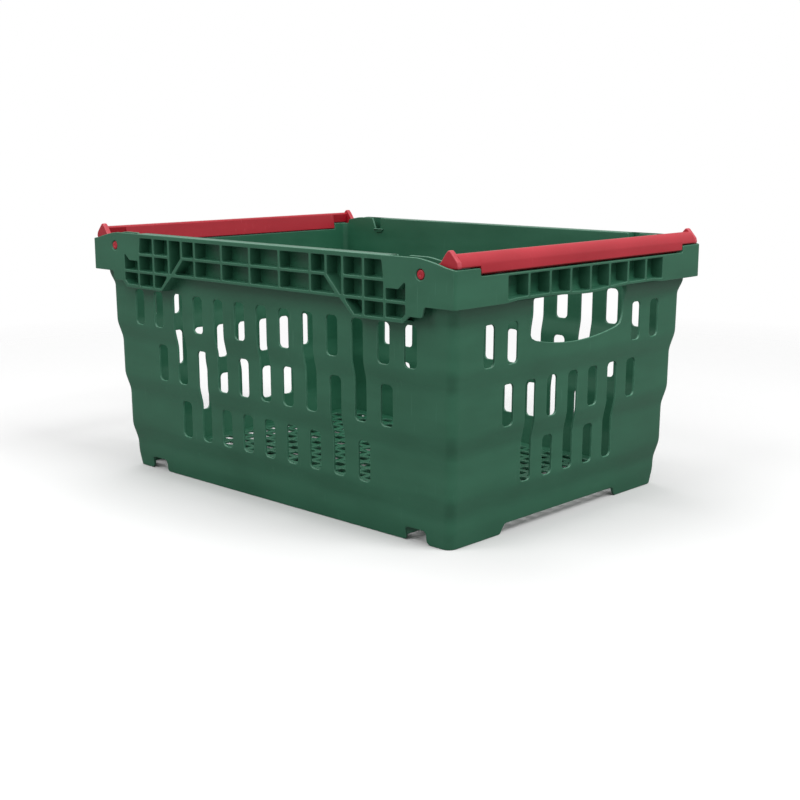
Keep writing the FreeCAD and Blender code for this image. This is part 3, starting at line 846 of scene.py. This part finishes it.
def pocket_tray():
    """Floor and ends of the arm pocket at (+X, -Y), between the plate and the wall."""
    end = half_l - END_BLOCK
    low = skirt_z + 0.05
    section = [
        (slot_x - 3.0, height - 0.1),
        (slot_x - 3.0, pocket_z - 1.4),
        (plate_x - 11.0, pocket_z - 1.4),
        (plate_x + 0.5, pocket_z + 7.2),
        (plate_x + 1.0, low),
        (half_l - 1.0, low),
        (half_l - 1.0, end_top - 0.05),
        (end, end_top - 0.05),
        (end, pocket_z),
        (plate_x, pocket_z),
        (plate_x, pocket_z + 8.5),
        (plate_x - 10.5, pocket_z),
        (slot_x, pocket_z),
        (slot_x, height - 0.1),
    ]
    shell = Shell()

    def place(x, z, depth):
        return (x, -half_w + PLATE_FRONT + 0.4 + depth, z)

    radii = [0, 0, 0, 0, 0, 0, 0, 1.0, 1.5, 0, 0.8, 0, 1.5, 0]
    sheet(shell, rounded(section, radii, 2), place, rim_depth, r=0.0, back_r=0.0)
    return shell


def body_rim():
    whole = Shell()
    quarter = rim_quarter()
    quarter.include(pocket_tray())
    for x in (1, -1):
        for y in (1, -1):
            whole.include(quarter, x=x, y=y)
    return whole


# ---- floor, feet and seats ----
def rows_of_holes(start, step, count, bar, radius):
    """Outlines of rounded oblong holes in rows, with bars of one width between them."""
    holes = []
    for i in range(count[0]):
        for j in range(count[1]):
            x0 = start[0] + i * step[0]
            y0 = start[1] + j * step[1]
            x1 = x0 + step[0] - bar
            y1 = y0 + step[1] - bar
            holes.append(rounded([(x0, y0), (x1, y0), (x1, y1), (x0, y1)], radius, 2))
    return holes


def floor_panel():
    """The floor: a thin panel with rows of rounded oblong holes."""
    edge = 1.6
    across_x = half_l - base_e - 12.0
    across_y = half_w - base_e - 12.0
    nx = int(2 * across_x / FLOOR_PITCH_X)
    ny = int(2 * across_y / FLOOR_PITCH_Y)
    step_x = 2 * across_x / nx
    step_y = 2 * across_y / ny
    start = (FLOOR_BAR / 2 - across_x, FLOOR_BAR / 2 - across_y)
    holes = rows_of_holes(start, (step_x, step_y), (nx, ny), FLOOR_BAR, 2.0)
    x = half_l - base_e + edge
    y = half_w - base_e + edge
    outline = rounded([(-x, -y), (x, -y), (x, y), (-x, y)], BODY_R - WALL, 5)
    shell = Shell()

    def place(u, v, depth):
        return (u, v, floor_top - depth)

    sheet(shell, divided(outline, 12.0), place, floor_top - floor_low, (), holes, r=0.6, back_r=0.6)
    return shell


def floor_rib_frame():
    """Ribs under the floor, between the two channels."""
    web = 2.8
    y_end = half_w - base_e + 1.0
    nx = 8
    ny = 6
    step_x = (2 * frame_x - web) / nx
    step_y = (2 * (y_end - 1.0) - web) / ny
    start = (web - frame_x, 1.0 - y_end + web)
    cells = rows_of_holes(start, (step_x, step_y), (nx, ny), web, 1.6)
    outline = [(-frame_x, -y_end), (frame_x, -y_end), (frame_x, y_end), (-frame_x, y_end)]
    shell = Shell()

    def place(u, v, depth):
        return (u, v, frame_low + depth)

    sheet(shell, outline, place, floor_low - frame_low + 0.8, (), cells, r=0.5, back_r=None, draft=0.3)
    return shell


def arm_seats():
    """The four ledges on the insides of the long walls that a swung-in arm lies on."""
    whole = Shell()
    one = Shell()
    x1 = seat_x
    z1 = seat_z
    x0 = x1 - 18.0
    y1 = -half_w + inner_e + 2.2
    low = seat_low - 0.5
    section = [(x0, z1 - 1.2), (x0 + 4.0, low), (x1 - 4.0, low), (x1, z1 - 1.2), (x1, z1), (x0, z1)]

    def place(x, z, depth):
        return (x, y1 - depth, z)

    sheet(one, rounded(section, [1.0, 3.0, 3.0, 1.0, 0.8, 0.8], 3), place, 4.0, back_r=None)
    for x in (1, -1):
        for y in (1, -1):
            whole.include(one, x=x, y=y)
    return whole


# ---- arms ----
def bar_section(width, bottom, proud, clear):
    """The bar's section in (X, Z): domed outside, narrow on top, and cut up by clear below the dome."""
    x = arm_x - 0.5 + proud
    top = height + BAR_TOP
    start = Vector((x, top - 11.0))
    middle = Vector((x - 1.9, top - 2.7))
    end = Vector((x - 8.0, top))
    dome = []
    for k in range(9):
        t = k / 8
        p = start.lerp(middle, t).lerp(middle.lerp(end, t), t)
        dome.append((p.x, p.y))
    back = x - proud - width
    inner = [(x - 12.5 - proud, top - 0.3), (x - 13.7 - proud, top - 2.0)]
    below = [(back, bottom + 1.0), (back + 1.0, bottom), (x - 6.0, bottom), (x - 5.0, bottom + clear)]
    return below + [(x - 1.0, bottom + clear), (x, bottom + clear + 1.0)] + dome + inner


def arm_end(leg_in, leg_out, rest):
    """Leg with its fin, hub and pivot pin, at -Y."""
    leg = [
        (pivot_x - 5.0, pivot_z - 6.0),
        (pivot_x + 5.0, pivot_z - 6.0),
        (half_l - 10.5, rest - 6.0),
        (half_l - 9.2, rest),
        (half_l - 1.6, rest),
        (half_l - 0.9, height - 6.5),
        (half_l - 2.0, height - 2.0),
        (half_l - 8.2, height + 5.0),
        (half_l - 13.0, height + FIN_TOP),
        (half_l - 17.8, height + 5.0),
        (half_l - 24.5, height - 4.5),
        (pivot_x - 5.0, pivot_z + 6.0),
    ]
    radii = [5.0, 5.0, 3.0, 1.5, 2.0, 3.0, 4.0, 8.0, 4.2, 8.0, 4.0, 5.0]
    shell = Shell()

    def place(x, z, depth):
        return (x, -leg_out + depth, z)

    outline = divided(rounded(leg, radii, 4), 4.0)
    sheet(shell, outline, place, leg_out - leg_in, r=1.3, back_r=1.3)
    plate = half_w - WALL
    turned = [
        (HUB_R, leg_in + 2.0),
        (HUB_R, plate - 1.2),
        (HUB_R - 0.6, plate - 0.4),
        (PIN_R, plate - 0.4),
        (PIN_R, half_w - 1.3),
        (PIN_R - 0.3, half_w - 0.7),
        (PIN_R - 1.0, half_w - 0.4),
        (1.7, half_w - 0.4),
        (1.3, half_w - 0.8),
    ]
    rings = []
    for r, y in turned:
        rings.append(shell.add([(u, -y, v) for u, v in circle(pivot_x, pivot_z, r, 32)]))
    for a, b in zip(rings, rings[1:]):
        shell.strip(a, b)
    shell.faces.append(tuple(reversed(rings[0])))
    shell.faces.append(tuple(rings[-1]))
    return shell


def bale_arm(side):
    """One arm in one moulding: bar with its lip, legs with fins, hubs and pivot pins."""
    leg_out = half_w - WALL - LEG_CLEAR
    leg_in = leg_out - LEG_T
    lip = recess_half - LIP_CLEAR
    rest = end_top + REST_CLEAR
    narrow = bar_section(BAR_END_W, rest, 0.0, 0.6)
    wide = bar_section(BAR_W, recess_z + REST_CLEAR, 0.5, 1.7)
    rows = []
    for y, section in ((-leg_in - 1.0, narrow), (-lip - 0.6, narrow), (-lip + 0.4, wide)):
        rows.append([(u, y, v) for u, v in section])
    rows += [[(u, -y, v) for u, y, v in row] for row in reversed(rows)]
    bar = Shell()
    rings = [bar.add(row) for row in rows]
    for a, b in zip(rings, rings[1:]):
        bar.strip(b, a)
    bar.faces.append(tuple(rings[0]))
    bar.faces.append(tuple(reversed(rings[-1])))
    end = arm_end(leg_in, leg_out, rest)
    whole = Shell()
    whole.include(bar, x=side)
    whole.include(end, x=side)
    whole.include(end, x=side, y=-1)
    return whole


# ---- finishes ----
def new_group(name, inputs, outputs):
    """An empty shader group with float inputs, and its input and output nodes."""
    tree = bpy.data.node_groups.new(name, "ShaderNodeTree")
    for label, value in inputs:
        socket = tree.interface.new_socket(label, in_out="INPUT", socket_type="NodeSocketFloat")
        socket.default_value = value
    for label, kind in outputs:
        tree.interface.new_socket(label, in_out="OUTPUT", socket_type=kind)
    return tree, tree.nodes.new("NodeGroupInput"), tree.nodes.new("NodeGroupOutput")


def add_node(tree, kind, **settings):
    node = tree.nodes.new(kind)
    for key, value in settings.items():
        if hasattr(node, key):
            setattr(node, key, value)
        else:
            node.inputs[key].default_value = value
    return node


def math_node(tree, operation, a, b):
    node = tree.nodes.new("ShaderNodeMath")
    node.operation = operation
    for socket, value in zip(node.inputs, (a, b)):
        if isinstance(value, bpy.types.NodeSocket):
            tree.links.new(value, socket)
        else:
            socket.default_value = value
    return node.outputs[0]


def product(tree, a, b):
    return math_node(tree, "MULTIPLY", a, b)


def range_node(tree, value, low, high, to_low=0.0, to_high=1.0):
    node = tree.nodes.new("ShaderNodeMapRange")
    tree.links.new(value, node.inputs["Value"])
    for label, number in (("From Min", low), ("From Max", high), ("To Min", to_low), ("To Max", to_high)):
        node.inputs[label].default_value = number
    return node.outputs["Result"]


def noise(tree, point, scale, detail=3.0, roughness=0.55):
    node = add_node(tree, "ShaderNodeTexNoise", Scale=scale, Detail=detail, Roughness=roughness)
    tree.links.new(point, node.inputs["Vector"])
    return node.outputs["Fac"]


def make_moulding_grain():
    """Fine spark-eroded texture of the mould, and the slow waviness of a thin moulding."""
    tree, given, result = new_group(
        "moulding_grain", [("Grain", 1.0), ("Waviness", 1.0)], [("Height", "NodeSocketFloat")]
    )
    point = add_node(tree, "ShaderNodeTexCoord").outputs["Object"]
    grain = noise(tree, point, 900.0, 2.0)
    pores = noise(tree, point, 2600.0, 1.0)
    waves = noise(tree, point, 14.0, 1.0)
    fine = math_node(tree, "ADD", grain, product(tree, pores, 0.5))
    fine = product(tree, fine, product(tree, given.outputs["Grain"], 0.00004))
    slow = product(tree, given.outputs["Waviness"], 0.0006)
    slow = product(tree, waves, slow)
    tree.links.new(math_node(tree, "ADD", fine, slow), result.inputs["Height"])
    return tree


def make_flow_tone():
    """Uneven tone of a pigmented moulding: clouds, and faint streaks where the plastic flowed."""
    tree, given, result = new_group(
        "flow_tone", [("Clouds", 0.5), ("Streaks", 0.5)], [("Tone", "NodeSocketFloat")]
    )
    point = add_node(tree, "ShaderNodeTexCoord").outputs["Object"]
    stretch = add_node(tree, "ShaderNodeMapping")
    stretch.inputs["Scale"].default_value = (9.0, 9.0, 45.0)
    tree.links.new(point, stretch.inputs["Vector"])
    clouds = range_node(tree, noise(tree, point, 11.0, 4.0), 0.3, 0.7, -0.5, 0.5)
    streaks = range_node(tree, noise(tree, stretch.outputs["Vector"], 1.0, 3.0), 0.35, 0.65, -0.5, 0.5)
    clouds = product(tree, clouds, given.outputs["Clouds"])
    streaks = product(tree, streaks, given.outputs["Streaks"])
    tone = math_node(tree, "ADD", 0.5, math_node(tree, "ADD", clouds, streaks))
    tree.links.new(tone, result.inputs["Tone"])
    return tree


def make_wear_and_edge_highlight():
    """Paler rounded edges, partly handling wear and partly a painted highlight, and faint scuffs and dust
    where handling shows on the faces.
    """
    tree, given, result = new_group(
        "wear_and_edge_highlight",
        [("Edge Wear", 0.5), ("Scuffs", 0.3)],
        [("Edges", "NodeSocketFloat"), ("Scuffs", "NodeSocketFloat")],
    )
    point = add_node(tree, "ShaderNodeTexCoord").outputs["Object"]
    # Every rounded edge is made paler, partly as wear and partly as a painted highlight.
    edge = add_node(tree, "ShaderNodeAttribute", attribute_name="edge").outputs["Fac"]
    broken = range_node(tree, noise(tree, point, 70.0, 4.0, 0.65), 0.25, 0.6, 0.35, 1.0)
    worn_and_highlit = product(tree, math_node(tree, "POWER", edge, 1.5), broken)
    worn_and_highlit = product(tree, worn_and_highlit, given.outputs["Edge Wear"])
    scratches = add_node(tree, "ShaderNodeMapping")
    scratches.inputs["Scale"].default_value = (420.0, 420.0, 30.0)
    scratches.inputs["Rotation"].default_value = (0.5, 0.35, 0.0)
    tree.links.new(point, scratches.inputs["Vector"])
    thin = range_node(tree, noise(tree, scratches.outputs["Vector"], 1.0, 1.0), 0.68, 0.74)
    patches = range_node(tree, noise(tree, point, 16.0, 3.0), 0.48, 0.66)
    scuffs = product(tree, thin, patches)
    scuffs = product(tree, scuffs, given.outputs["Scuffs"])
    tree.links.new(worn_and_highlit, result.inputs["Edges"])
    tree.links.new(scuffs, result.inputs["Scuffs"])
    return tree


def placed(tree, group, **values):
    node = tree.nodes.new("ShaderNodeGroup")
    node.node_tree = group
    for label, value in values.items():
        node.inputs[label.replace("_", " ")].default_value = value
    return node


def mixed(tree, fac, a, b):
    """A colour between a and b, each a socket or a colour."""
    node = tree.nodes.new("ShaderNodeMix")
    node.data_type = "RGBA"
    tree.links.new(fac, node.inputs["Factor"])
    for label, value in (("A", a), ("B", b)):
        socket = next(s for s in node.inputs if s.name == label and s.type == "RGBA")
        if isinstance(value, bpy.types.NodeSocket):
            tree.links.new(value, socket)
        else:
            socket.default_value = (*value, 1.0)
    return next(s for s in node.outputs if s.type == "RGBA")


def moulded_plastic(name, deep, light, rubbed_and_highlight, gloss, grain, clouds, streaks, edge_wear_and_highlight, scuffs):
    """Pigmented polypropylene. deep and light are the ends of its tone; the third colour shows where worn
    and as a painted highlight on the rounded edges.
    """
    material = bpy.data.materials.new(name)
    material.use_nodes = True
    tree = material.node_tree
    shader = tree.nodes["Principled BSDF"]
    tone = placed(tree, flow_tone, Clouds=clouds, Streaks=streaks).outputs["Tone"]
    wear_and_highlight = placed(tree, wear_and_edge_highlight, Edge_Wear=edge_wear_and_highlight, Scuffs=scuffs)
    colour = mixed(tree, tone, deep, light)
    # Painted highlight, with edge wear: the rounded edges are mixed toward the paler colour.
    colour = mixed(tree, wear_and_highlight.outputs["Edges"], colour, rubbed_and_highlight)
    colour = mixed(tree, wear_and_highlight.outputs["Scuffs"], colour, rubbed_and_highlight)
    tree.links.new(colour, shader.inputs["Base Color"])
    rough = range_node(tree, tone, 0.0, 1.0, gloss - 0.05, gloss + 0.06)
    rough = math_node(tree, "ADD", rough, product(tree, wear_and_highlight.outputs["Scuffs"], 0.25))
    tree.links.new(rough, shader.inputs["Roughness"])
    height = placed(tree, moulding_grain, Grain=grain, Waviness=1.0).outputs["Height"]
    bump = add_node(tree, "ShaderNodeBump", Strength=0.6, Distance=1.0)
    tree.links.new(height, bump.inputs["Height"])
    tree.links.new(bump.outputs["Normal"], shader.inputs["Normal"])
    shader.inputs["IOR"].default_value = 1.49
    return material


moulding_grain = make_moulding_grain()
flow_tone = make_flow_tone()
wear_and_edge_highlight = make_wear_and_edge_highlight()
green = moulded_plastic(
    "green_polypropylene",
    deep=(0.012, 0.087, 0.045),
    light=(0.020, 0.114, 0.062),
    rubbed_and_highlight=(0.085, 0.230, 0.155),
    gloss=0.44,
    grain=1.0,
    clouds=0.7,
    streaks=0.5,
    edge_wear_and_highlight=0.45,
    scuffs=0.25,
)
red = moulded_plastic(
    "red_polypropylene",
    deep=(0.31, 0.005, 0.014),
    light=(0.39, 0.011, 0.024),
    rubbed_and_highlight=(0.62, 0.12, 0.15),
    gloss=0.40,
    grain=0.8,
    clouds=0.6,
    streaks=0.4,
    edge_wear_and_highlight=0.35,
    scuffs=0.25,
)


# ---- making the pieces ----
def nodes_named(*starts):
    return [n for n in sorted(frame["nodes"]) if n.startswith(starts)]


def body_piece(name, shell, *starts):
    piece = as_object(name, shell, green)
    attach(piece, "crate_body")
    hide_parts(*nodes_named(*starts))


body_piece("body_walls", body_walls(), "side_wall", "end_wall", "corner_post")
body_piece("body_rim", body_rim(), "side_rim", "end_rim", "arm_pocket")
body_piece("body_floor", floor_panel(), "floor_panel")
body_piece("body_floor_ribs", floor_rib_frame(), "floor_rib_frame")
body_piece("body_arm_seats", arm_seats(), "arm_seat")
for end, side in (("left", -1), ("right", 1)):
    arm = as_object("swing_arm_" + end, bale_arm(side), red, bevel=0.7)
    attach(arm, "arm_" + end)
    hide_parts("bale_arm_" + end)


# ---- floor, light and camera (metres) ----
FLOOR_SEEN = (0.67, 0.67, 0.67)
FLOOR_BOUNCE = (0.26, 0.26, 0.26)
FADE_START = 0.75         # from here out the floor melts into the white surroundings
FADE_END = 1.6
ROOM_LIGHT = 0.67


def add_floor():
    """Plain floor. It looks pale to the camera and throws less light back up at the crate."""
    floor_mesh = bpy.data.meshes.new("studio_floor")
    reach_out = 6.0
    corners = [(-reach_out, -reach_out, 0), (reach_out, -reach_out, 0)]
    corners += [(reach_out, reach_out, 0), (-reach_out, reach_out, 0)]
    floor_mesh.from_pydata(corners, [], [(0, 1, 2, 3)])
    floor = bpy.data.objects.new("studio_floor", floor_mesh)
    bpy.context.scene.collection.objects.link(floor)
    paint = bpy.data.materials.new("floor_paint")
    paint.use_nodes = True
    tree = paint.node_tree
    shader = tree.nodes["Principled BSDF"]
    seen = add_node(tree, "ShaderNodeLightPath").outputs["Is Camera Ray"]
    tree.links.new(mixed(tree, seen, FLOOR_BOUNCE, FLOOR_SEEN), shader.inputs["Base Color"])
    shader.inputs["Roughness"].default_value = 0.9
    shader.inputs["Specular IOR Level"].default_value = 0.2
    away = add_node(tree, "ShaderNodeVectorMath", operation="LENGTH")
    tree.links.new(add_node(tree, "ShaderNodeTexCoord").outputs["Object"], away.inputs[0])
    fade = range_node(tree, away.outputs["Value"], FADE_START, FADE_END)
    blend = add_node(tree, "ShaderNodeMixShader")
    tree.links.new(product(tree, fade, seen), blend.inputs["Fac"])
    tree.links.new(shader.outputs["BSDF"], blend.inputs[1])
    tree.links.new(add_node(tree, "ShaderNodeBsdfTransparent").outputs["BSDF"], blend.inputs[2])
    tree.links.new(blend.outputs["Shader"], tree.nodes["Material Output"].inputs["Surface"])
    floor.data.materials.append(paint)
    floor.location.z = -0.0003


def add_softbox(name, place, aim, size, power):
    """A square area light that faces the point aim."""
    data = bpy.data.lights.new(name, "AREA")
    data.size = size
    data.energy = power
    lamp = bpy.data.objects.new(name, data)
    lamp.location = place
    lamp.rotation_euler = (Vector(aim) - Vector(place)).to_track_quat("-Z", "Y").to_euler()
    bpy.context.scene.collection.objects.link(lamp)


def add_room_light():
    """White surroundings, which light the crate less than they show behind it."""
    world = bpy.data.worlds.new("studio_room")
    world.use_nodes = True
    tree = world.node_tree
    seen = add_node(tree, "ShaderNodeLightPath").outputs["Is Camera Ray"]
    strength = range_node(tree, seen, 0.0, 1.0, ROOM_LIGHT, 1.0)
    tree.links.new(strength, tree.nodes["Background"].inputs["Strength"])
    tree.nodes["Background"].inputs["Color"].default_value = (1.0, 1.0, 1.0, 1)
    bpy.context.scene.world = world
    bpy.context.scene.view_settings.view_transform = "Standard"


def add_camera():
    data = bpy.data.cameras.new("product_camera")
    data.lens = 58.316
    data.sensor_width = 36.0
    camera = bpy.data.objects.new("product_camera", data)
    camera.location = (1.098596, -1.139255, 0.413244)
    camera.rotation_euler = Euler((radians(90.0 - 11.439), 0.0, radians(43.433)))
    bpy.context.scene.collection.objects.link(camera)
    bpy.context.scene.camera = camera


add_floor()
add_room_light()
crate_middle = (0.0, 0.0, 0.14)
add_softbox("key_softbox", (-1.0, 0.3, 2.5), crate_middle, 1.8, 24.0)
add_softbox("end_softbox", (1.9, 0.1, 2.3), crate_middle, 1.3, 56.0)
add_softbox("front_softbox", (-0.4, -2.1, 2.2), crate_middle, 1.6, 40.0)
add_camera()
